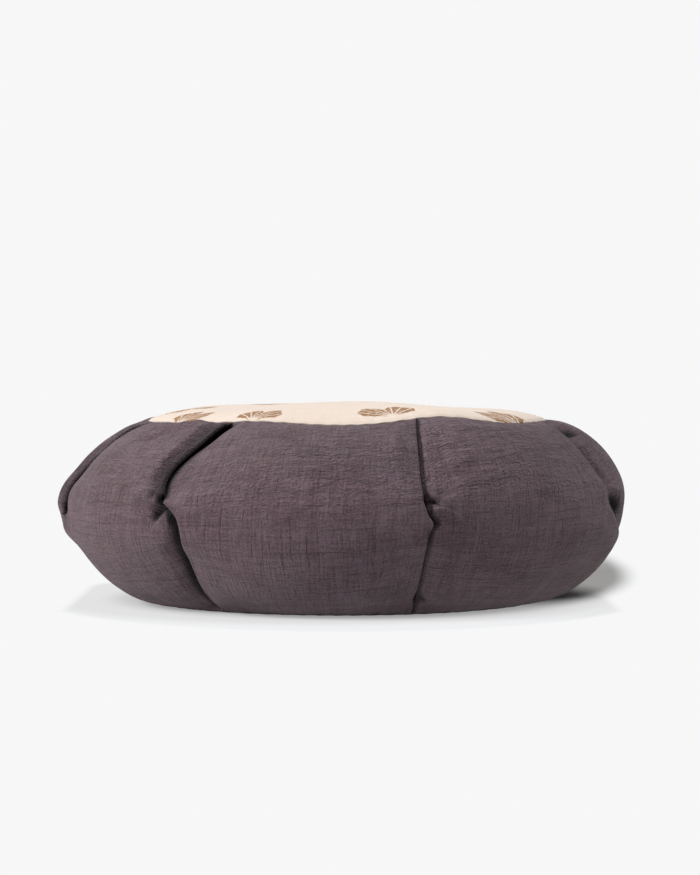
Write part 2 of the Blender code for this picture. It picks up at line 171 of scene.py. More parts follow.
# Small pits where the cloth curls in, darkened by painted shade. Slant is how far one leans over, in degrees a
# level.
PITS = table(
    "azimuth level slant wide tall depth shade",
    (-38, 0.529, 12, 0.95, 0.03, 6.5, 1.9), (-35.4, 0.545, -8, 0.6, 0.018, 1, 0.3),
    (17.5, 0.572, -45, 0.6, 0.02, 2.5, 0.85), (20.8, 0.543, -90, 0.9, 0.012, 1, 0.3),
    (73.6, 0.514, -32, 2.9, 0.046, 5.5, 1.25), (75, 0.862, -30, 3.2, 0.034, 4, 1),
    (70.2, 0.735, -10, 2.3, 0.12, 1, 0.36), (19.4, 0.15, -50, 1.2, 0.018, 1.2, 0.6),
    (-34.7, 0.19, 5, 1.6, 0.15, 0, 0.85),
    # painted shade on the far side of the pleat at the left end
    (-84.6, 0.72, 42, 3.2, 0.085, 0, 0.42), (-85.8, 0.58, 14, 3, 0.05, 0, 0.36),
    (-78, 0.87, 46, 3, 0.05, 0, 0.46), (-78.8, 0.49, -30, 3, 0.02, 0.8, 0.66),
    (-77.6, 0.455, -30, 1.8, 0.022, 0, 0.45),
)

# Soft folds of the cloth, as ridges between two ends. Half widths and heights are in millimetres.
FOLDS = table(
    "azimuth level to_azimuth to_level width height",
    (16.8, 0.56, 23.5, 0.5, 2.6, 2.6), (17.6, 0.62, 22, 0.585, 3.2, -1.2), (-36.3, 0.58, -35, 0.475, 1.9, 1.9),
    (69.5, 0.602, 75.8, 0.566, 3.2, 1.4), (75.2, 0.58, 76.8, 0.48, 3, 1.4), (-66, 0.7, -50, 0.76, 5, -0.9),
    (-50, 0.68, -41, 0.56, 4.5, 1.5), (-60, 0.62, -48, 0.65, 5, 1.1), (-36, 0.975, -58, 0.88, 3.6, 2.2),
    (-37, 0.925, -58, 0.8, 4.5, -2.5), (-40, 0.87, -57, 0.73, 4.2, 2.2), (18, 0.185, 25, 0.17, 2.2, 1.3),
    (-70, 0.93, -55, 0.935, 4, 0.7), (-60, 0.17, -46, 0.11, 4.5, -0.8), (-54, 0.27, -43, 0.17, 4.5, -0.8),
    (24, 0.865, 44, 0.875, 4, 0.7), (28, 0.8, 52, 0.82, 4.5, -0.7), (20, 0.72, 30, 0.735, 4.5, 0.6),
    (38, 0.7, 60, 0.69, 5, 0.6), (72, 0.82, 84, 0.85, 4, 0.9), (-22, 0.91, -4, 0.9, 4.5, 0.5),
    (110, 0.65, 118, 0.6, 4, 1.6), (113, 0.88, 134, 0.9, 4.5, 0.8), (141, 0.54, 149, 0.6, 4, 1.5),
    (158, 0.85, 178, 0.83, 4.5, -0.8), (198, 0.58, 206, 0.54, 4, 1.6), (205, 0.9, 226, 0.88, 4.5, 0.8),
    (228, 0.2, 215, 0.14, 5, -0.8), (244, 0.6, 252, 0.55, 4, 1.5), (249, 0.87, 268, 0.89, 4.5, 0.8),
)
# Painted shade that darkens the band towards its bottom seam, and how far up it reaches.
UNDER_SHADE = 0.08
UNDER_LEVEL = 0.34
PUCKER_HEIGHT = 0.45 * MM
PUCKER_REACH = 13 * MM
LUMP_HEIGHT = 0.9 * MM
LUMP_SCALE = 24
FOLD_TAPER = 3
# Where a pit's painted shade begins and how softly it grows.
PIT_RIM = 0.18
PIT_SOFT = 0.6
PUCKER_START = 2.5 * MM
LOOSE_MARGIN = 0.06
LOOSE_BAND = 0.10

# Soft humps and hollows of the crown. Heights are in millimetres.
HUMPS = table(
    "x y radius height",
    (0.02, 0, 0.06, 2.8), (0.08, 0.03, 0.045, -4.4), (0.08, -0.05, 0.04, -1.8), (-0.06, -0.06, 0.04, -3.4),
    (-0.06, 0.07, 0.045, -0.8),
)

# How finely a pleat's section and the cloth between two pleats are divided.
Detail = namedtuple("Detail", "arc wall end panel rows")
FINE = Detail(7, 5, 4, 80, 104)
COARSE = Detail(3, 1, 2, 30, 40)
PANEL_CROWDING = 0.64

# The band's rings that are hidden under the top panel, in the simulation and in the piece.
SIM_CROWN_RINGS = 4
CROWN_RINGS = 3
HIDDEN_STEP = 0.01

# The cloth simulation of the band. Its moves are capped, hardly sink and are evened out this often.
SIM_FRAMES = 20
SIM_CAP = 4.5 * MM
SIM_START = 2.8 * MM
SIM_SUNK = 0.4 * MM
SIM_EVENING = 6
SIM_CLOTH = {
    "quality": 6, "mass": 0.3, "air_damping": 2.0, "tension_stiffness": 12.0, "compression_stiffness": 12.0,
    "shear_stiffness": 4.0, "bending_stiffness": 0.25, "use_pressure": True, "uniform_pressure_force": 4.0,
    "vertex_group_mass": "held", "pin_stiffness": 1.0, "shrink_min": -0.035,
}

# The two panels' edges: how far and over what distance they roll, and the ripples that the seam pulls into them.
TOP_COLUMNS = 360
TOP_ROLL, TOP_ROLL_WIDTH = 0.9 * MM, 3.5 * MM
TOP_PULL, TOP_PULL_START, TOP_PULL_REACH = 0.35 * MM, 1.5 * MM, 9 * MM
BASE_COLUMNS = 240
BASE_CLOTH = 1.4 * MM
BASE_LIFT = 0.5 * MM
BASE_PULL = 0.12 * MM

# The printed leaves, in millimetres and degrees.
LEAVES = table(
    "x y turn size",
    (-107, -82, -54, 0.9), (-57, -121, -26, 0.92), (31, -121, 15, 1.15), (114, -81, 55, 1.1),
    (-112, -18, 190, 1.1), (24, 14, -15, 1), (122, 6, 95, 1.1), (-56, 14, -70, 0.95),
    (-36, 62, 35, 1.15), (76, 46, 205, 1.05), (-94, 72, 120, 1.1), (8, 88, -40, 1.15),
    (108, 88, 50, 1), (-46, 124, 5, 1.05), (52, 130, 140, 1.1),
)
NO_LEAF = (200, 200, 0)
LEAF_REACH = 34
LEAF_LENGTH = 1.45

PLUM_LIGHT = (0.141, 0.093, 0.105, 1.0)
PLUM_DARK = (0.063, 0.041, 0.048, 1.0)
COOL_LIGHT = (0.120, 0.100, 0.133, 1.0)
COOL_DARK = (0.054, 0.045, 0.063, 1.0)
# The near-black of the painted shade in the band's grooves, beside its laps, in its pits and low down.
PLUM_PAINTED_SHADE = (0.008, 0.006, 0.007, 1.0)
CREAM_LIGHT = (0.528, 0.453, 0.392, 1.0)
CREAM_DARK = (0.476, 0.397, 0.330, 1.0)
LEAF_BROWN = (0.190, 0.087, 0.021, 1.0)


# ---- small curves ----


def smooth(share):
    """0 below 0, 1 above 1 and an even S between them."""
    share = np.clip(share, 0, 1)
    return share * share * (3 - 2 * share)


def bell(distance):
    return np.exp(-np.square(distance))


def angle_between(first, second):
    """Degrees from the second azimuth to the first, from -180 to 180."""
    return (np.asarray(first) - second + 180) % 360 - 180


def along_path(path, level):
    """The value at a level on the smooth curve through evenly spaced values."""
    place = level * (len(path) - 1)
    index = min(int(place), len(path) - 2)
    share = place - index
    start, end = path[index], path[index + 1]
    slope_in = (end - path[max(index - 1, 0)]) / 2
    slope_out = (path[min(index + 2, len(path) - 1)] - start) / 2
    blend = share * share * (3 - 2 * share)
    ease_in = share * (1 - share) ** 2
    ease_out = share * share * (1 - share)
    return start + (end - start) * blend + slope_in * ease_in - slope_out * ease_out


# ---- the outline of the filled band ----


def fullness(azimuth, level):
    """How full the band is between its pleats, from 0 where a pleat draws it in to 1."""
    folds = [along_path(pleat.path, 0.5) for pleat in PLEATS]
    after = [*folds[1:], folds[0] + 360]
    share = np.zeros_like(azimuth)
    for pleat, start, end in zip(PLEATS, folds, after):
        along = ((azimuth - start) % 360) / (end - start)
        share = np.where(along < 1.0, pleat.full * np.sin(math.pi * np.clip(along, 0, 1)), share)
    swept = bell(angle_between(azimuth, SWEPT_AZIMUTH) / SWEPT_SPREAD) * float(smooth((0.5 - level) / SWEPT_FADE))
    return share + np.maximum(SWEPT_FULL - share, 0.0) * swept


def seam_wave(azimuth):
    """How far the top seam rises and falls round the cushion."""
    near = (pleat.lift * bell(angle_between(azimuth, pleat.path[-1] + LIFT_PLACE) / LIFT_WIDTH) for pleat in PLEATS)
    return MM * sum(near) - SEAM_SAG


def swelling(azimuth, level):
    return sum(
        row.height * MM
        * bell(angle_between(azimuth, row.azimuth) / row.wide)
        * bell((level - row.level) / row.tall)
        for row in SWELLINGS
    )


def band_surface(azimuth, level, out):
    """Points of the band at these azimuths on one level, moved out along the outline's normal."""
    slope = (level - 0.5) * math.pi
    turn = np.radians(azimuth)
    full = fullness(azimuth, level)
    squared = smooth(abs(slope) / ROUND_BELLY)
    belly = BELLY_HEIGHT + BELLY_TILT * np.sin(turn)
    if level >= 0.5:
        power = UPPER_DRAWN + (UPPER_FULL - UPPER_DRAWN) * full
        height = TOP_SEAM_HEIGHT + seam_wave(azimuth) - belly
    else:
        power = LOWER_DRAWN + (LOWER_FULL - LOWER_DRAWN) * full
        height = belly - BOTTOM_SEAM_HEIGHT
    power = 2 + (power - 2) * squared
    reach = BELLY_RADIUS - SEAM_RADIUS
    across = max(math.cos(slope), 0) ** (2 / power)
    upward = abs(math.sin(slope)) ** (2 / power)
    normal_out = across ** (power - 1) / reach
    sign = math.copysign(1.0, slope)
    normal_up = sign * upward ** (power - 1) / height
    length = np.hypot(normal_out, normal_up)
    bulge = swelling(azimuth, level) + out
    radius = SEAM_RADIUS + reach * across + bulge * normal_out / length
    rise = belly + sign * height * upward + bulge * normal_up / length
    rise = np.maximum(rise, FLOOR_CLEARANCE)
    shift = TOP_SHIFT * max(math.sin(slope), 0)
    return np.stack([shift + radius * np.sin(turn), -radius * np.cos(turn), rise], axis=1)


def off_seams(level, reach=SEAM_FADE):
    """0 at both seams, and 1 on levels at least this far from them."""
    return float(smooth(min(level, 1 - level) / reach))


# ---- the pleats ----


def arc(centre, radius, start, end, steps):
    """Points on a circle, from one angle to another in radians."""
    turn = np.linspace(start, end, steps + 1)
    return np.stack([centre[0] + radius * np.cos(turn), centre[1] + radius * np.sin(turn)], axis=1)


def straight(start, end, steps):
    """The points between two others, without either end."""
    share = np.linspace(0, 1, steps + 1)[1:-1, None]
    return start * (1 - share) + end * share


def groove(lean, depth, mouth, slit, roll, detail):
    """A pleat's section from left to right, as points (along, out) in metres."""
    sine, cosine = math.sin(lean), math.cos(lean)
    inward = np.array([-sine, -cosine])
    leftward = np.array([-cosine, sine])
    edge = mouth / 2 + roll
    opening = np.array([0.0, -roll - edge * abs(sine)])
    bottom = opening + depth * inward
    left_fold = arc(opening + edge * leftward, roll, math.pi / 2, -lean, detail.arc)
    right_fold = arc(opening - edge * leftward, roll, math.pi - lean, math.pi / 2, detail.arc)
    end = arc(bottom, slit / 2, math.pi - lean, 2 * math.pi - lean, detail.end)
    left_wall = straight(left_fold[-1], end[0], detail.wall)
    right_wall = straight(end[-1], right_fold[0], detail.wall)
    return np.concatenate([left_fold, left_wall, end, right_wall, right_fold])


Side = namedtuple("Side", "drop run hollow hollow_run ridge ridge_spread")


def fold_azimuth(pleat, level):
    jogs = (jog.azimuth * bell((level - jog.level) / jog.spread) for jog in JOGS if PLEATS[jog.pleat] is pleat)
    return along_path(pleat.path, level) + float(sum(jogs))


def gape_at(pleat, level):
    """How far the pleat gapes at a level, and the share by which its lean opens."""
    rows = [row for row in GAPES if PLEATS[row.pleat] is pleat]
    near = [float(bell((level - row.level) / row.spread)) for row in rows]
    width = sum(row.width * MM * share for row, share in zip(rows, near))
    return width, max((row.opening * share for row, share in zip(rows, near)), default=0.0)


def lap_at(pleat, level):
    """The pleat's lap at a level, turned nearly closed at both seams."""
    upper = float(smooth((level - pleat.turn) / TURN_BAND / 2 + 0.5))
    lap = Lap(*(low + (high - low) * upper for low, high in zip(pleat.down, pleat.up)))
    near_seam = 1 - off_seams(level)
    lean = lap.lean * (1 - gape_at(pleat, level)[1])
    lean += (math.copysign(CLOSED_LEAN, lap.lean) - lean) * near_seam
    ridge = lap.ridge * MM * off_seams(level, RIDGE_FADE)
    return Lap(math.radians(lean), ridge, lap.dip * MM, lap.run * MM)


def groove_at(pleat, level, detail):
    """The pleat's section at a level, and how the cloth on its left and right lies beside it."""
    belly = bell((level - 0.5) / BELLY_BAND)
    open_share = off_seams(level)
    open_roll = SEAM_ROLL + (pleat.roll * MM - SEAM_ROLL) * belly
    open_depth = pleat.tuck * MM + (BELLY_TUCK - pleat.tuck * MM) * belly
    roll = CLOSED + (open_roll - CLOSED) * open_share
    depth = CLOSED_DEPTH + (open_depth - CLOSED_DEPTH) * open_share
    slit = CLOSED + (SLIT - CLOSED) * open_share
    lap = lap_at(pleat, level)
    gape = gape_at(pleat, level)[0] * open_share
    dip = lap.dip * open_share
    over_left, over_right = max(math.sin(lap.lean), 0), max(-math.sin(lap.lean), 0)
    drop = slit + 2 * roll + dip
    spread = 1 + RIDGE_GROWTH * float(smooth((level - pleat.turn) / (1 - pleat.turn)))
    reach = max(gape * GAPE_SPREAD, GAPE_REACH)
    left = Side(drop * over_right, lap.run, gape * over_right, reach, lap.ridge * over_left, spread)
    right = Side(drop * over_left, lap.run, gape * over_left, reach, lap.ridge * over_right, spread)
    return groove(lap.lean, depth, slit + gape + dip, slit, roll, detail), (left, right)


def beside(distance, side):
    """Heights of the cloth at distances from a pleat, above the band's own outline."""
    place, width = RIDGE_PLACE * side.ridge_spread, RIDGE_WIDTH * side.ridge_spread
    width = np.where(distance > place, width * RIDGE_FOOT, width)
    return (
        side.ridge * bell((distance - place) / width) * smooth(distance / place)
        - side.drop * np.exp(-DIP_DECAY * distance / side.run)
        - side.hollow * (1 - smooth(distance / side.hollow_run))
    )


def shade_beside(distance, side):
    """How much painted shade the cloth takes at distances from a pleat, from 0 to 1."""
    depth = side.drop * np.exp(-DIP_DECAY * distance / side.run)
    depth += side.hollow * (1 - smooth(distance / side.hollow_run))
    covered = depth / np.hypot(depth, distance + 0.01 * MM)
    beneath = BENEATH_SHADE * smooth(side.drop / BENEATH_DROP) * smooth((covered - BENEATH_COVERED) / BENEATH_SOFT)
    flank = 1 - smooth(distance / (FLANK_REACH * RIDGE_PLACE * side.ridge_spread))
    return np.maximum(beneath, FLANK_SHADE * smooth(side.ridge / FLANK_RIDGE) * flank)


def groove_points(detail):
    return 2 * (detail.arc + detail.wall) + detail.end + 1


def panel_shares(detail):
    steps = np.linspace(0, 1, detail.panel + 1)
    return steps - PANEL_CROWDING * np.sin(2 * math.pi * steps) / (2 * math.pi)


def section(level, detail):
    """Azimuths, heights and painted shade of the points round the band at one level."""
    centres = [fold_azimuth(pleat, level) for pleat in PLEATS]
    radius = np.hypot(*band_surface(np.array([0.0]), level, 0.0)[0, :2])
    per_metre = math.degrees(1 / radius)
    grooves = [groove_at(pleat, level, detail) for pleat in PLEATS]
    share = panel_shares(detail)[1:-1]
    azimuths, heights, shades = [], [], []
    for index, (points, (own_left, right_side)) in enumerate(grooves):
        following = (index + 1) % len(PLEATS)
        next_points, (left_side, _) = grooves[following]
        whole_turn = 0.0 if following else 360
        azimuths.append(centres[index] + points[:, 0] * per_metre)
        heights.append(points[:, 1])
        turned = lap_at(PLEATS[index], level).lean < 0.0
        over, under = (float(shade_beside(0.0, side)) for side in (own_left, right_side)[:: -1 if turned else 1])
        knots = (over, over, 1.0, 1.0, max(under, LEAST_UNDER))
        shade = np.interp(np.linspace(0, 1, len(points)), GROOVE_KNOTS, knots)
        shades.append(shade[::-1] if turned else shade)
        start = azimuths[-1][-1]
        end = centres[following] + whole_turn + next_points[0, 0] * per_metre
        length = (end - start) / per_metre
        azimuths.append(start + (end - start) * share)
        after = beside(share * length, right_side)
        before = beside((1 - share) * length, left_side)
        heights.append(after + before)
        near = shade_beside(share * length, right_side)
        shades.append(np.maximum(near, shade_beside((1 - share) * length, left_side)))
    return np.concatenate(azimuths), np.concatenate(heights), np.concatenate(shades)


# ---- the cloth's own relief ----


def folds_relief(azimuth, level):
    """Height of the soft folds, each a rounded ridge between its two ends."""
    height = np.zeros_like(azimuth)
    across = math.radians(1.0) * BELLY_RADIUS / MM
    upward = (BELLY_RADIUS - SEAM_RADIUS + TOP_SEAM_HEIGHT) / MM
    for fold in FOLDS:
        along = np.array([(fold.to_azimuth - fold.azimuth) * across, (fold.to_level - fold.level) * upward])
        length = np.hypot(*along)
        east = angle_between(azimuth, fold.azimuth) * across
        north = (level - fold.level) * upward
        share = (east * along[0] + north * along[1]) / length**2
        aside = (east * along[1] - north * along[0]) / length
        taper = smooth(share * FOLD_TAPER) * smooth((1 - share) * FOLD_TAPER)
        height += fold.height * MM * bell(aside / fold.width) * taper
    return height


def pits_at(azimuth, level):
    """Depth and painted shade of the small pits."""
    depth, shade = np.zeros_like(azimuth), np.zeros_like(azimuth)
    for pit in PITS:
        aside = angle_between(azimuth, pit.azimuth) - pit.slant * (level - pit.level)
        near = bell(aside / pit.wide) * bell((level - pit.level) / pit.tall)
        depth += pit.depth * MM * near
        shade = np.maximum(shade, np.minimum(pit.shade * smooth((near - PIT_RIM) / PIT_SOFT), 1.0))
    return depth, shade


def puckers(azimuth, level):
    """The gathers that both seams pull into the band's cloth."""
    turn = np.radians(azimuth)
    wave = np.sin(turn * 61.0 + 2 * np.sin(turn * 7.0))
    wave += 0.7 * np.sin(turn * 97.0 + 3.0 * np.cos(turn * 5.0)) + 0.5 * np.sin(turn * 23.0)
    distance = min(level, 1 - level) * (BELLY_RADIUS - SEAM_RADIUS + TOP_SEAM_HEIGHT)
    rise = smooth(distance / PUCKER_START) * math.exp(-distance / PUCKER_REACH)
    return PUCKER_HEIGHT * wave * rise


def lumps(points):
    """Uneven fill, as a smooth noise in space."""
    values = [noise.noise(Vector(point) * LUMP_SCALE) for point in points]
    return LUMP_HEIGHT * np.array(values)


def level_rows(detail):
    return np.linspace(0, 1, detail.rows + 1)


def looseness(level, detail):
    """How free each point of a row is to move: 0 in the pleats and at the seams, 1 in the middle of a panel."""
    share = panel_shares(detail)[1:-1]
    panel = smooth(np.minimum(share, 1 - share) / LOOSE_MARGIN) * off_seams(level, LOOSE_BAND)
    return np.tile(np.concatenate([np.zeros(groove_points(detail)), panel]), len(PLEATS))


def band_rows(detail, start_size):
    """The band's rows of points, from the bottom seam to the top seam, their azimuths and their painted shade.

    The loose cloth starts this much smaller, because the simulation blows it up.
    """
    rows, azimuths, shades = [], [], []
    for level in level_rows(detail):
        level = float(level)
        azimuth, out, shade = section(level, detail)
        out = out - start_size * looseness(level, detail)
        drawn = SEAM_DRAW * (bell((1 - level) / SEAM_DRAW_BAND) if level > 0.5 else 0.0)
        plain = band_surface(azimuth, level, 0.0)
        relief = lumps(plain) * off_seams(level) + folds_relief(azimuth, level) + puckers(azimuth, level)
        pit_depth, pit_shade = pits_at(azimuth, level)
        rows.append(band_surface(azimuth, level, out - drawn + relief - pit_depth))
        azimuths.append(azimuth)
        # painted shade low on the band, darker towards the bottom seam
        underneath = UNDER_SHADE * float(smooth((UNDER_LEVEL - level) / UNDER_LEVEL))
        shades.append(np.maximum(np.maximum(shade, pit_shade), underneath))
    return np.array(rows), np.array(azimuths), np.array(shades)


# ---- meshes ----


def ring_faces(rows, columns):
    """The quads of a closed band of rows of points."""
    row, column = np.meshgrid(np.arange(rows - 1), np.arange(columns), indexing="ij")
    after = (column + 1) % columns
    quads = np.stack(
        [row * columns + column, row * columns + after, (row + 1) * columns + after, (row + 1) * columns + column],
        axis=-1,
    )
    return quads.reshape(-1, 4)


def mesh_of(name, rows, first_middle=None, last_middle=None):
    """A smooth mesh through rings of equally many points."""
    count, columns = len(rows), len(rows[0])
    vertices = [tuple(point) for point in np.concatenate(rows)]
    faces = [tuple(int(i) for i in quad) for quad in ring_faces(count, columns)]
    for middle, start, flip in ((first_middle, 0, True), (last_middle, (count - 1) * columns, False)):
        if middle is None:
            continue
        tip = len(vertices)
        vertices.append(tuple(middle))
        for here in range(columns):
            pair = (start + here, start + (here + 1) % columns)
            faces.append((*(reversed(pair) if flip else pair), tip))
    mesh = bpy.data.meshes.new(name)
    mesh.from_pydata(vertices, [], faces)
    mesh.shade_smooth()
    mesh.update()
    return mesh


def crown_height(x, y):
    """Height of the top panel's upper face at a place, seen from above."""
    x = x - TOP_SHIFT
    share = np.hypot(x, y) / SEAM_RADIUS
    azimuth = np.degrees(np.arctan2(x, -y))
    dome = CROWN_RISE * (1 - share**CROWN_POWER)
    wave = seam_wave(azimuth) * share**3
    humps = sum(row.height * MM * bell(np.hypot(x - row.x, y - row.y) / row.radius) for row in HUMPS)
    return TOP_SEAM_HEIGHT + dome + wave + humps * (1 - share**4)


def crown_ring(azimuth, share, below):
    turn = np.radians(azimuth)
    x = TOP_SHIFT + SEAM_RADIUS * share * np.sin(turn)
    y = -SEAM_RADIUS * share * np.cos(turn)
    return np.stack([x, y, crown_height(x, y) - below], axis=1)


def close_band(rows, azimuths, crown_rings):
    """The band's rows with the hidden face under each panel added."""
    turn = np.radians(azimuths[0])
    foot = np.stack([np.sin(turn), -np.cos(turn), np.ones_like(turn)], axis=1)
    foot *= (RECESS_RADIUS, RECESS_RADIUS, RECESS)
    shares = np.linspace(RECESS_RADIUS / SEAM_RADIUS, 0.0, crown_rings + 1)[:-1]
    crown = [crown_ring(azimuths[-1], share, RECESS) for share in shares]
    middle = (TOP_SHIFT, 0.0, float(crown_height(TOP_SHIFT, 0.0)) - RECESS)
    return [foot, *rows, *crown], (0.0, 0.0, RECESS), middle


def values_of(collection, key, kind=np.int64, width=1):
    values = np.empty(len(collection) * width, dtype=kind)
    collection.foreach_get(key, values)
    return values


def add_object(name, data, material=None):
    made = bpy.data.objects.new(name, data)
    bpy.context.scene.collection.objects.link(made)
    if material:
        data.materials.append(material)
    return made


def add_sheet(name, mesh, material, thickness):
    """A cloth this thick below its mesh."""
    made = add_object(name, mesh, material)
    sheet = made.modifiers.new("cloth thickness", "SOLIDIFY")
    sheet.thickness = thickness
    sheet.offset = -1.0
    return made


# ---- cloth simulation ----


def blow_up(mesh, held):
    """How far each point of a mesh moves when it is blown up as cloth. Held points have a weight of 1."""
    trial = add_object("cloth_trial", mesh)
    group = trial.vertex_groups.new(name="held")
    for index, weight in enumerate(held):
        group.add([index], float(weight), "REPLACE")
    modifier = trial.modifiers.new("cloth", "CLOTH")
    for key, value in SIM_CLOTH.items():
        setattr(modifier.settings, key, value)
    modifier.settings.effector_weights.gravity = 0.0
    modifier.collision_settings.use_collision = False
    modifier.collision_settings.use_self_collision = False
    modifier.point_cache.frame_start = 1
    modifier.point_cache.frame_end = SIM_FRAMES
    scene = bpy.context.scene
    for step in range(1, SIM_FRAMES + 1):
        scene.frame_set(step)
    shaped = trial.evaluated_get(bpy.context.evaluated_depsgraph_get())
    move = values_of(shaped.data.vertices, "co", float, 3) - values_of(mesh.vertices, "co", float, 3)
    bpy.data.objects.remove(trial, do_unlink=True)
    scene.frame_set(1)
    return move.reshape(-1, 3)


def soft_limit(length, limit):
    return limit * np.tanh(length / limit)


def simulate_band():
    """How far each point of a coarse band moves when its cloth, cut a little large, is blown up.

    The seams and the folds of the pleats are held. The moves are from the band's plain form, and hardly any goes
    below it. The result is an array of rows, panels, places along the panel and coordinates.
    """
    rows, azimuths, _ = band_rows(COARSE, SIM_START)
    rings, first, last = close_band(rows, azimuths, SIM_CROWN_RINGS)
    columns = len(azimuths[0])
    held = np.ones((len(rings), columns))
    for row, level in enumerate(level_rows(COARSE), start=1):
        held[row] -= looseness(level, COARSE)
    moves = blow_up(mesh_of("cloth_trial", rings, first, last), [*held.ravel(), 1, 1])
    move = moves[columns : columns * (1 + len(rows))]
    length = np.linalg.norm(move, axis=1, keepdims=True)
    move *= soft_limit(length, SIM_CAP) / np.maximum(length, 1e-9)
    inward = np.concatenate(rows) - np.concatenate(band_rows(COARSE, 0.0)[0])
    size = np.maximum(np.linalg.norm(inward, axis=1, keepdims=True), 1e-9)
    move += inward
    sunk = np.maximum((move * inward).sum(axis=1, keepdims=True) / size, 0.0)
    move += (soft_limit(sunk, SIM_SUNK) - sunk) * inward / size
    move = move.reshape(len(rows), len(PLEATS), columns // len(PLEATS), 3)
    ends = np.zeros((len(rows), len(PLEATS), 1, 3))
    return np.concatenate([ends, move[:, :, groove_points(COARSE) :], ends], axis=2)


def places_between(old, new):
    """For each new place the number of the old one before it, and the share of the way to the next."""
    index = np.clip(np.searchsorted(old, new) - 1, 0, len(old) - 2)
    return index, (new - old[index]) / (old[index + 1] - old[index])


def spread_moves(moves):
    """The simulated moves for every panel point of the fine band, and none for its grooves."""
    row, row_part = places_between(level_rows(COARSE), level_rows(FINE))
    row_part = row_part[:, None, None, None]
    column, column_part = places_between(panel_shares(COARSE), panel_shares(FINE)[1:-1])
    column_part = column_part[None, None, :, None]
    rows = moves[row] * (1 - row_part) + moves[row + 1] * row_part
    panels = rows[:, :, column] * (1 - column_part) + rows[:, :, column + 1] * column_part
    for _ in range(SIM_EVENING):
        panels[:, :, 1:-1] = (panels[:, :, :-2] + 2 * panels[:, :, 1:-1] + panels[:, :, 2:]) / 4.0
        panels[1:-1] = (panels[:-2] + 2 * panels[1:-1] + panels[2:]) / 4.0
    grooves = np.zeros((len(row), len(PLEATS), groove_points(FINE), 3))
    return np.concatenate([grooves, panels], axis=2).reshape(len(row), -1, 3)


# ---- the three pieces ----


def weave_map(mesh, u, v):
    """A UV map in metres along and up the cloth, from the vertices' own values. The last column wraps round."""
    layer = mesh.uv_layers.new(name="weave")
    corners = values_of(mesh.loops, "vertex_index")
    coordinates = np.stack([u[corners], v[corners]], axis=1)
    starts, totals = values_of(mesh.polygons, "loop_start"), values_of(mesh.polygons, "loop_total")
    whole = 2 * math.pi * BELLY_RADIUS
    for size in (3, 4):
        face = starts[totals == size][:, None] + np.arange(size)
        across = coordinates[face, 0]
        wrapped = across.max(axis=1, keepdims=True) - across > whole / 2
        coordinates[face, 0] = across + whole * wrapped
    layer.data.foreach_set("uv", coordinates.ravel())


def make_band(material):
    rows, azimuths, shades = band_rows(FINE, 0.0)
    rows = rows + spread_moves(simulate_band())
    rows[:, :, 2] = np.maximum(rows[:, :, 2], FLOOR_CLEARANCE)
    steps = np.linalg.norm(np.diff(rows, axis=0), axis=2).mean(axis=1)
    climb = np.concatenate([[0.0], np.cumsum(steps)])
    rings, first, last = close_band(rows, azimuths, CROWN_RINGS)
    mesh = mesh_of("pleated_band", rings, first, last)
    u = [azimuths[0], *azimuths, *[azimuths[-1]] * CROWN_RINGS]
    u = np.concatenate([np.radians(np.concatenate(u)) * BELLY_RADIUS, [0.0, 0.0]])
    heights = [-HIDDEN_STEP, *climb, *(climb[-1] + HIDDEN_STEP * np.arange(1, CROWN_RINGS + 1))]
    v = np.concatenate([np.repeat(heights, len(azimuths[0])), [0.0, 0.0]])
    weave_map(mesh, u, v)
    # the painted shade of each point; the hidden faces take none
    shade = mesh.attributes.new("fold_shade", "FLOAT", "POINT")
    hidden = np.zeros(len(mesh.vertices))
    hidden[len(azimuths[0]) : len(azimuths[0]) * (1 + len(rows))] = shades.ravel()
    shade.data.foreach_set("value", hidden)
    return add_object("pleated_band", mesh, material)


def make_top(material):
    """The top panel as a sheet with a soft edge that rolls down into the seam."""
    azimuth = np.linspace(0, 360, TOP_COLUMNS, endpoint=False)
    turn = np.radians(azimuth)
    inner = np.linspace(0, 0.9, 40)[1:]
    outer = 0.9 + 0.1 * np.sin(np.linspace(0, math.pi / 2, 16)[1:])
    shares = np.concatenate([inner, outer]) * TOP_RADIUS / SEAM_RADIUS
    wave = np.sin(turn * 71.0 + 2.5 * np.sin(turn * 6.0))
    rings = []
    for share in shares[::-1]:
        ring = crown_ring(azimuth, share, 0.0)
        distance = SEAM_RADIUS * (1 - share)
        roll = TOP_ROLL * (1 - smooth(distance / TOP_ROLL_WIDTH))
        pull = TOP_PULL * math.exp(-distance / TOP_PULL_REACH) * smooth(distance / TOP_PULL_START)
        ring[:, 2] += pull * wave - roll
        rings.append(ring)
    mesh = mesh_of("crowned_top", rings, None, (TOP_SHIFT, 0.0, float(crown_height(TOP_SHIFT, 0.0))))
    return add_sheet("crowned_top", mesh, material, CLOTH)


def make_base(material):
    """The base panel as a sheet, flat where it rests, with its edge turned up into the seam."""
    turn = np.radians(np.linspace(0, 360, BASE_COLUMNS, endpoint=False))
    shares = np.concatenate([np.linspace(0, 0.94, 24)[1:], np.linspace(0.95, 1.0, 9)])
    wave = np.sin(turn * 67.0 + 2 * np.sin(turn * 5.0))
    rings = []
    for share in shares:
        radius = BASE_RADIUS * share
        lift = BASE_LIFT * smooth((share - 0.97) / 0.03)
        pull = BASE_PULL * smooth((share - 0.95) / 0.03) * (1 + wave)
        rings.append(np.stack([radius * np.sin(turn), -radius * np.cos(turn), lift + pull], axis=1))
    mesh = mesh_of("flat_base", rings[::-1], None, (0.0, 0.0, 0.0))
    mesh.flip_normals()
    return add_sheet("flat_base", mesh, material, BASE_CLOTH)


# ---- materials ----


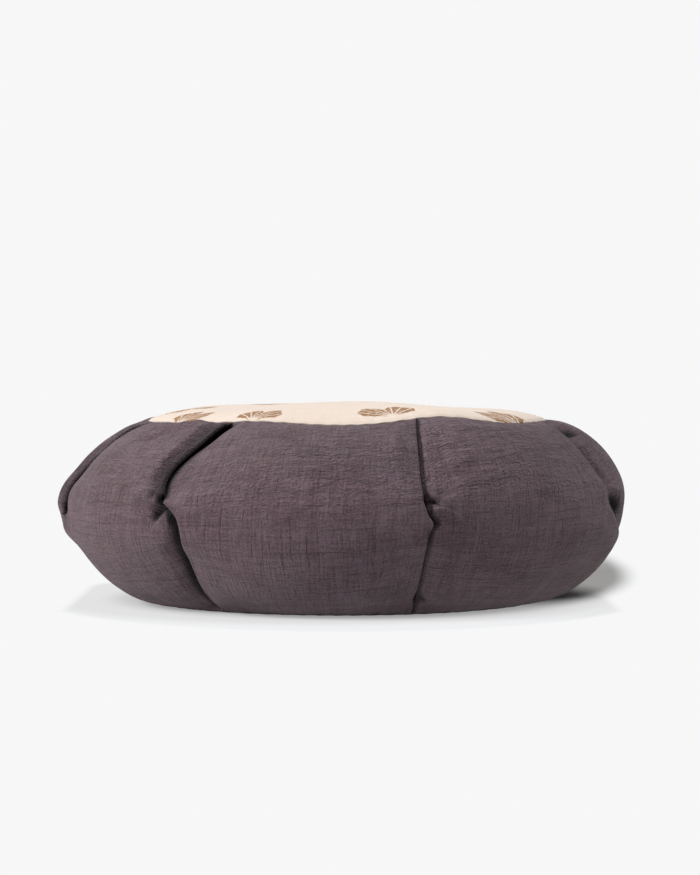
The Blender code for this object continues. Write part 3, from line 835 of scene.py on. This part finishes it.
class Nodes:
    """Short ways to add nodes to one tree. A value is a constant or the socket of another node."""

    def __init__(self, tree):
        self.tree = tree

    def fill(self, node, values):
        """The node with these inputs given."""
        for key, value in values.items():
            if isinstance(value, bpy.types.NodeSocket):
                self.tree.links.new(value, node.inputs[key])
            else:
                node.inputs[key].default_value = value
        return node

    def put(self, kind, values=None, **settings):
        """A new shader node, its settings made and its inputs given."""
        made = self.tree.nodes.new("ShaderNode" + kind)
        for key, value in settings.items():
            setattr(made, key, value)
        return self.fill(made, values or {})

    def object_place(self):
        return self.put("TexCoord").outputs["Object"]

    def calc(self, operation, *values, clamp=False):
        values = dict(enumerate(values))
        return self.put("Math", values, operation=operation, use_clamp=clamp).outputs[0]

    plus = partialmethod(calc, "ADD")
    minus = partialmethod(calc, "SUBTRACT")
    times = partialmethod(calc, "MULTIPLY")
    larger = partialmethod(calc, "MAXIMUM")
    # the value times the slope, plus the start
    line = partialmethod(calc, "MULTIPLY_ADD")

    def vector(self, operation, *values, output=0):
        return self.put("VectorMath", dict(enumerate(values)), operation=operation).outputs[output]

    def stretched(self, vector, scale, offset=(0, 0, 0)):
        return self.vector("MULTIPLY_ADD", vector, scale, offset)

    def length(self, vector):
        return self.vector("LENGTH", vector, output="Value")

    def clouds(self, vector, scale, detail, roughness=0.5, distortion=0.0, offset=(0, 0, 0)):
        """Noise from 0 to 1 on a stretched and moved vector."""
        values = {"Vector": self.stretched(vector, scale, offset), "Scale": 1.0, "Detail": detail}
        values.update({"Roughness": roughness, "Distortion": distortion})
        return self.put("TexNoise", values).outputs["Fac"]

    def ramp(self, value, low, high, out_low=0.0, out_high=1.0):
        """An even S from one output to another as the value runs from low to high."""
        values = {"Value": value, "From Min": low, "From Max": high, "To Min": out_low, "To Max": out_high}
        return self.put("MapRange", values, interpolation_type="SMOOTHSTEP").outputs[0]

    def turned(self, vector, angle):
        values = {"Vector": vector, "Angle": angle}
        return self.put("VectorRotate", values, rotation_type="Z_AXIS").outputs[0]

    def blend(self, share, first, second):
        """From the first colour to the second."""
        return self.put("Mix", {0: share, 6: first, 7: second}, data_type="RGBA").outputs[2]

    def streaks(self, across, wander, spacing, width, seed):
        """1 along unevenly spaced, nearly straight lines and 0 between them. Lengths are in millimetres."""
        values = {"W": self.line(across, 0.35 / spacing, seed), "Scale": 1.0, "Detail": 1.0}
        uneven = self.put("TexNoise", values, noise_dimensions="1D").outputs["Fac"]
        place = self.plus(self.line(uneven, 1.7, self.calc("DIVIDE", across, spacing)), wander)
        return self.ramp(self.calc("PINGPONG", place, 0.5), 0.0, width / spacing, 1.0, 0.0)


def new_material(name):
    material = bpy.data.materials.new(name)
    material.use_nodes = True
    return material, Nodes(material.node_tree)


def cloth_shader(n, colour, height, roughness, sheen):
    """The Principled shader's sockets for a cloth. Height is in millimetres."""
    bump = n.put("Bump", {"Height": height, "Strength": 1.0, "Distance": MM})
    values = {"Base Color": colour, "Normal": bump.outputs[0], "Roughness": roughness, "Specular IOR Level": 0.18}
    values.update({"Sheen Weight": sheen, "Sheen Roughness": 0.45, "Sheen Tint": (0.95, 0.90, 0.92, 1.0)})
    n.fill(n.tree.nodes["Principled BSDF"], values)


def plum_cloth(name, creased):
    """Crinkled cotton: an open weave of uneven threads, drawn into short upright crinkles and long level ones."""
    material, n = new_material(name)
    metres = n.put("UVMap", uv_map="weave").outputs[0] if creased else n.object_place()
    mm = n.stretched(metres, (1000, 1000, 1000))
    patches = n.clouds(mm, (0.03, 0.04, 0.03), 3)
    parts = n.put("SeparateXYZ", {0: mm}).outputs
    high = n.ramp(parts[1], 95, 150) if creased else 0.3
    wander = n.clouds(mm, (0.035, 0.035, 0.035), 2, offset=(7, 3, 0))
    wander = n.times(n.minus(wander, 0.5), n.line(high, 2.4, 0.9))
    shifted = n.put("CombineXYZ", {0: wander, 1: wander, 2: 0.0}).outputs[0]
    bent = n.vector("ADD", mm, shifted)

    warp = n.clouds(mm, (0.62, 0.06, 1), 3, 0.65)
    weft = n.clouds(mm, (0.06, 0.62, 1), 3, 0.65, offset=(31, 0, 0))
    grain = n.clouds(mm, (0.6, 0.6, 1), 4, 0.8, offset=(0, 17, 0))
    upright_bands = n.clouds(mm, (0.13, 0.012, 1), 2, 0.6, offset=(5, 2, 0))
    level_bands = n.clouds(mm, (0.012, 0.15, 1), 2, 0.6, offset=(3, 9, 0))
    bands = n.plus(upright_bands, level_bands)

    gaps = n.clouds(mm, (0.2, 0.055, 1), 1, offset=(11, 5, 0))
    tall = n.streaks(parts[0], wander, 5.6, 0.62, 3)
    tall = n.times(tall, n.ramp(gaps, 0.46, 0.6))
    short = n.streaks(parts[0], wander, 3, 0.52, 29)
    short = n.times(short, n.ramp(gaps, 0.5, 0.4, 0, 0.8))
    short = n.times(short, n.ramp(patches, 0.42, 0.56))
    upright = n.larger(tall, short)

    breaks = n.clouds(mm, (0.038, 0.24, 1), 1, offset=(2, 8, 0))
    long = n.streaks(parts[1], wander, 9, 0.62, 17)
    long = n.times(long, n.ramp(breaks, 0.44, 0.56))
    close = n.streaks(parts[1], wander, 4.2, 0.55, 41)
    close = n.times(close, n.ramp(breaks, 0.47, 0.38, 0, 0.85))
    close = n.times(close, n.line(high, 0.65, 0.35))
    creases = n.larger(upright, n.larger(long, close))

    crumple = n.clouds(n.turned(bent, -0.2), (0.075, 0.2, 1), 2, 0.6, 1.8, offset=(9, 60, 0))
    crumple = n.calc("ABSOLUTE", n.minus(crumple, 0.5))
    soft = n.clouds(bent, (0.06, 0.1, 1), 2, 0.5, offset=(4, 30, 0))
    threads = n.plus(warp, weft)
    height = n.line(threads, 0.85, n.times(grain, 1.1))
    height = n.minus(height, n.times(creases, 0.52))
    height = n.plus(height, n.times(crumple, n.line(high, 3.8, 1.4)))
    height = n.plus(height, n.times(soft, n.line(high, 2.4, 1.4)))

    tone = n.line(n.minus(grain, 0.5), 3, 0.57)
    for layer, middle, strength in ((threads, 1, 1.5), (bands, 1, 0.8), (patches, 0.5, 0.9)):
        tone = n.plus(tone, n.times(n.minus(layer, middle), strength))
    # The crinkles also darken the colour: painted shade in their valleys.
    tone = n.minus(tone, n.times(creases, 0.44))
    spots = n.stretched(mm, (0.055, 0.055, 0.055), (0.3, 0.7, 0))
    spots = n.put("TexVoronoi", {"Vector": spots, "Scale": 1.0}).outputs["Distance"]
    lint = n.times(n.ramp(spots, 0.02, 0.042, 1, 0), n.ramp(gaps, 0.52, 0.6))
    tone = n.line(lint, 1.2, tone, clamp=True)
    colour = n.blend(tone, PLUM_DARK, PLUM_LIGHT)
    cool = n.plus(n.times(upright_bands, 0.5), n.times(patches, 0.5))
    colour = n.blend(n.ramp(cool, 0.42, 0.6, 0, 0.2), colour, n.blend(tone, COOL_DARK, COOL_LIGHT))
    if creased:
        # painted shade: the colour goes towards near-black where the fold_shade attribute is high
        shade = n.put("Attribute", attribute_name="fold_shade").outputs["Fac"]
        colour = n.blend(shade, colour, PLUM_PAINTED_SHADE)
    cloth_shader(n, colour, height, 0.92, 0.1)
    return material


def leaf_group():
    """A node group: the share of brown at a place in a leaf's own millimetres, its stem pointing down."""
    group = bpy.data.node_groups.new("fan leaf", "ShaderNodeTree")
    group.interface.new_socket("Place", in_out="INPUT", socket_type="NodeSocketVector")
    group.interface.new_socket("Ink", in_out="OUTPUT", socket_type="NodeSocketFloat")
    n = Nodes(group)
    place = group.nodes.new("NodeGroupInput").outputs[0]
    wobble = n.clouds(place, (0.25, 0.25, 0.25), 2)
    shake = n.times(n.minus(wobble, 0.5), 2.2)
    x, y, _ = n.put("SeparateXYZ", {0: place}).outputs
    x = n.plus(x, shake)
    y = n.plus(n.plus(y, 11), shake)
    reach = n.calc("SQRT", n.plus(n.times(x, x), n.times(y, y)))
    turn = n.calc("ARCTAN2", x, y)
    aside = n.calc("ABSOLUTE", turn)
    notch = n.times(n.ramp(aside, 0.02, 0.3, 1, 0), 9)
    scallop = n.times(n.calc("COSINE", n.times(turn, 13)), 0.7)
    shoulder = n.times(n.calc("POWER", n.calc("DIVIDE", aside, 1.3), 3), 5.5)
    edge = n.minus(n.minus(n.plus(23, scallop), notch), shoulder)
    inside = n.ramp(n.minus(edge, reach), -0.25, 0.25)
    side = n.ramp(aside, 1.26, 1.31, 1, 0)
    heart = n.ramp(reach, 2, 2.6)
    body = n.times(n.times(inside, side), heart)
    spread = n.calc("ABSOLUTE", n.calc("SINE", n.times(turn, 10)))
    vein_width = n.times(n.times(spread, 0.1), reach)
    veins = n.ramp(vein_width, 0.24, 0.56)
    cross_wave = n.line(wobble, 9, n.times(reach, 0.75))
    cross = n.ramp(n.calc("ABSOLUTE", n.calc("SINE", cross_wave)), 0.06, 0.26, 0.25, 1)
    n.fill(group.nodes.new("NodeGroupOutput"), {0: n.times(n.times(body, veins), cross)})
    return group


def printed_cloth(name):
    """Cream plain weave with a scatter of brown fan-shaped leaves."""
    material, n = new_material(name)
    place = n.object_place()
    mm = n.stretched(place, (1000, 1000, 1000))
    warp = n.clouds(mm, (1.5, 0.07, 0.3), 2)
    weft = n.clouds(mm, (0.07, 1.5, 0.3), 2, offset=(31, 0, 0))
    grain = n.clouds(mm, (1.3, 1.3, 1.3), 2)
    threads = n.plus(warp, weft)
    patches = n.clouds(mm, (0.02, 0.02, 0.02), 2)

    flat = n.stretched(mm, (1, 1, 0))
    local = NO_LEAF
    for leaf in LEAVES:
        moved = n.vector("SUBTRACT", flat, (leaf.x, leaf.y, 0))
        near = n.calc("LESS_THAN", n.length(moved), LEAF_REACH * leaf.size)
        turned = n.turned(n.stretched(moved, (1 / leaf.size,) * 3), math.radians(-leaf.turn))
        values = {0: near, 4: local, 5: n.stretched(turned, (1, 1 / LEAF_LENGTH, 1))}
        local = n.put("Mix", values, data_type="VECTOR").outputs[1]
    leaf_ink = n.put("Group", {0: local}, node_tree=leaf_group()).outputs[0]
    worn = n.ramp(n.plus(grain, n.times(threads, 0.5)), 0.62, 0.9, 0.6, 1)
    ink = n.times(leaf_ink, worn)

    tone = n.line(n.minus(threads, 1), 1.6, 0.62)
    tone = n.plus(tone, n.times(n.minus(patches, 0.5), 0.5), clamp=True)
    ground = n.blend(tone, CREAM_DARK, CREAM_LIGHT)
    colour = n.blend(ink, ground, LEAF_BROWN)
    height = n.line(threads, 0.16, n.times(grain, 0.08))
    cloth_shader(n, colour, height, 0.88, 0.12)
    return material


# ---- the studio ----

# The floor glows, apart from the shadow just round the cushion and a soft one behind its right side. In metres.
GLOW = (0.932, 0.932, 0.932, 1.0)
PAPER = (0.485, 0.500, 0.525, 1.0)
# The paper's colour in the soft shadow on the right: a painted shadow.
SHADED_PAPER = (0.28525, 0.28155, 0.27425, 1.0)
CLEAR_ASIDE = (0.176, 0.204)
CLEAR_OVAL = (0.190, 0.228)
OVAL_STRETCH = (1.0, 0.88, 1.0)
DEEP_PLACE = (0.154, 0.19)
DEEP_SLANT = -0.1
DEEP_ASIDE, DEEP_BEHIND, DEEP_BEFORE = 12.3, 2.4, -3.3
DEEP_EDGE = (0.60, 0.92)
DEEP_START = (-0.02, 0.10)
NEAR_PLACE = (0.08, 0.13, 0.0)
NEAR_EDGE = (0.125, 0.185)
NEAR_GLOW = (0.05, 0.70)
CONTACT_EDGE = (0.148, 0.185)
CONTACT_GLOW = (0.5, 1.0)
FLOOR_FRONT, FLOOR_BACK, FLOOR_SIDE = -4.0, 1.4, 5.0
COVE_RADIUS = 0.8
WALL_HEIGHT = 5

LAMPS = table(
    "name place target size power colour",
    ("key", (-1.9, -0.88, 0.98), (0, 0, 0.07), 0.9, 64, (1, 0.99, 0.98)),
    ("top", (0.65, -0.45, 2.1), (0, 0, 0.1), 1.5, 50, (1, 1, 1)),
)
WORLD_COLOUR = (0.95, 0.97, 1.0, 1.0)
WORLD_STRENGTH = 0.05

CAMERA_PLACE = (0.00583, -1.9094, 0.17222)
CAMERA_AIM = (0.00583, 0.0, 0.12003)
CAMERA_LENS = 104.8


def aim(thing, place, target):
    thing.location = place
    thing.rotation_euler = (Vector(target) - Vector(place)).to_track_quat("-Z", "Y").to_euler()


def add_light(lamp):
    data = bpy.data.lights.new(lamp.name, "AREA")
    data.shape = "DISK"
    data.size = lamp.size
    data.energy = lamp.power
    data.color = lamp.colour
    aim(add_object(lamp.name, data), lamp.place, lamp.target)


def studio_material():
    """Pale paper that takes the cushion's shadow near it, and glows further away."""
    material, n = new_material("pale paper")
    place = n.object_place()
    across, away, _ = n.put("SeparateXYZ", {0: place}).outputs
    clear = n.ramp(n.calc("ABSOLUTE", across), *CLEAR_ASIDE)
    clear = n.larger(clear, n.ramp(n.length(n.stretched(place, OVAL_STRETCH)), *CLEAR_OVAL))
    # how deep in the soft shadow on the right, which has a rounded end; there the floor stops glowing and takes a
    # painted shadow
    aside = n.line(away, DEEP_SLANT, n.minus(across, DEEP_PLACE[0]))
    aside = n.times(n.larger(aside, 0.0), DEEP_ASIDE)
    back = n.minus(away, DEEP_PLACE[1])
    back = n.larger(n.times(back, DEEP_BEHIND), n.times(back, DEEP_BEFORE))
    reach = n.calc("SQRT", n.line(aside, aside, n.times(back, back)))
    deep = n.times(n.ramp(reach, *DEEP_EDGE, 1.0, 0.0), n.ramp(across, *DEEP_START))
    near = n.ramp(n.length(n.vector("SUBTRACT", place, NEAR_PLACE)), *NEAR_EDGE, *NEAR_GLOW)
    share = n.times(n.larger(near, clear), n.minus(1.0, deep))
    share = n.times(share, n.ramp(n.length(place), *CONTACT_EDGE, *CONTACT_GLOW))
    glow = n.put("Emission", {"Color": GLOW, "Strength": 1.0})
    # painted shadow: the paper darkens in the soft shadow on the right
    values = {"Base Color": n.blend(deep, PAPER, SHADED_PAPER), "Roughness": 1.0, "Specular IOR Level": 0.0}
    paper = n.fill(n.tree.nodes["Principled BSDF"], values)
    mixed = n.put("MixShader", {0: share, 1: paper.outputs[0], 2: glow.outputs[0]})
    n.fill(n.tree.nodes["Material Output"], {"Surface": mixed.outputs[0]})
    return material


def add_studio():
    """A floor that curves up into a back wall."""
    profile = [(FLOOR_FRONT, 0.0), (FLOOR_BACK, 0.0)]
    for turn in np.linspace(0, math.pi / 2, 13)[1:]:
        profile.append((FLOOR_BACK + COVE_RADIUS * math.sin(turn), COVE_RADIUS * (1 - math.cos(turn))))
    profile.append((FLOOR_BACK + COVE_RADIUS, WALL_HEIGHT))
    vertices = [(x, y, z) for y, z in profile for x in (-FLOOR_SIDE, FLOOR_SIDE)]
    faces = [(2 * i, 2 * i + 1, 2 * i + 3, 2 * i + 2) for i in range(len(profile) - 1)]
    mesh = bpy.data.meshes.new("studio_floor")
    mesh.from_pydata(vertices, [], faces)
    mesh.shade_smooth()
    add_object("studio_floor", mesh, studio_material())


def add_camera():
    data = bpy.data.cameras.new("camera")
    data.lens = CAMERA_LENS
    data.clip_start = 0.05
    camera = add_object("camera", data)
    aim(camera, CAMERA_PLACE, CAMERA_AIM)
    bpy.context.scene.camera = camera


def add_world():
    world = bpy.data.worlds.new("studio")
    world.use_nodes = True
    n = Nodes(world.node_tree)
    n.fill(n.tree.nodes["Background"], {"Color": WORLD_COLOUR, "Strength": WORLD_STRENGTH})
    bpy.context.scene.world = world


def main():
    scene = bpy.context.scene
    scene.view_settings.view_transform = "Standard"
    add_camera()
    add_world()
    add_studio()
    for lamp in LAMPS:
        add_light(lamp)

    band = make_band(plum_cloth("plum crinkled cloth", True))
    top = make_top(printed_cloth("cream printed cloth"))
    base = make_base(plum_cloth("plum plain cloth", False))
    for piece, node, slot in (
        (band, "side_band", "band_cloth"),
        (top, "top_panel", "top_cloth"),
        (base, "base_panel", "base_cloth"),
    ):
        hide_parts(node)
        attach(piece, "root")


main()
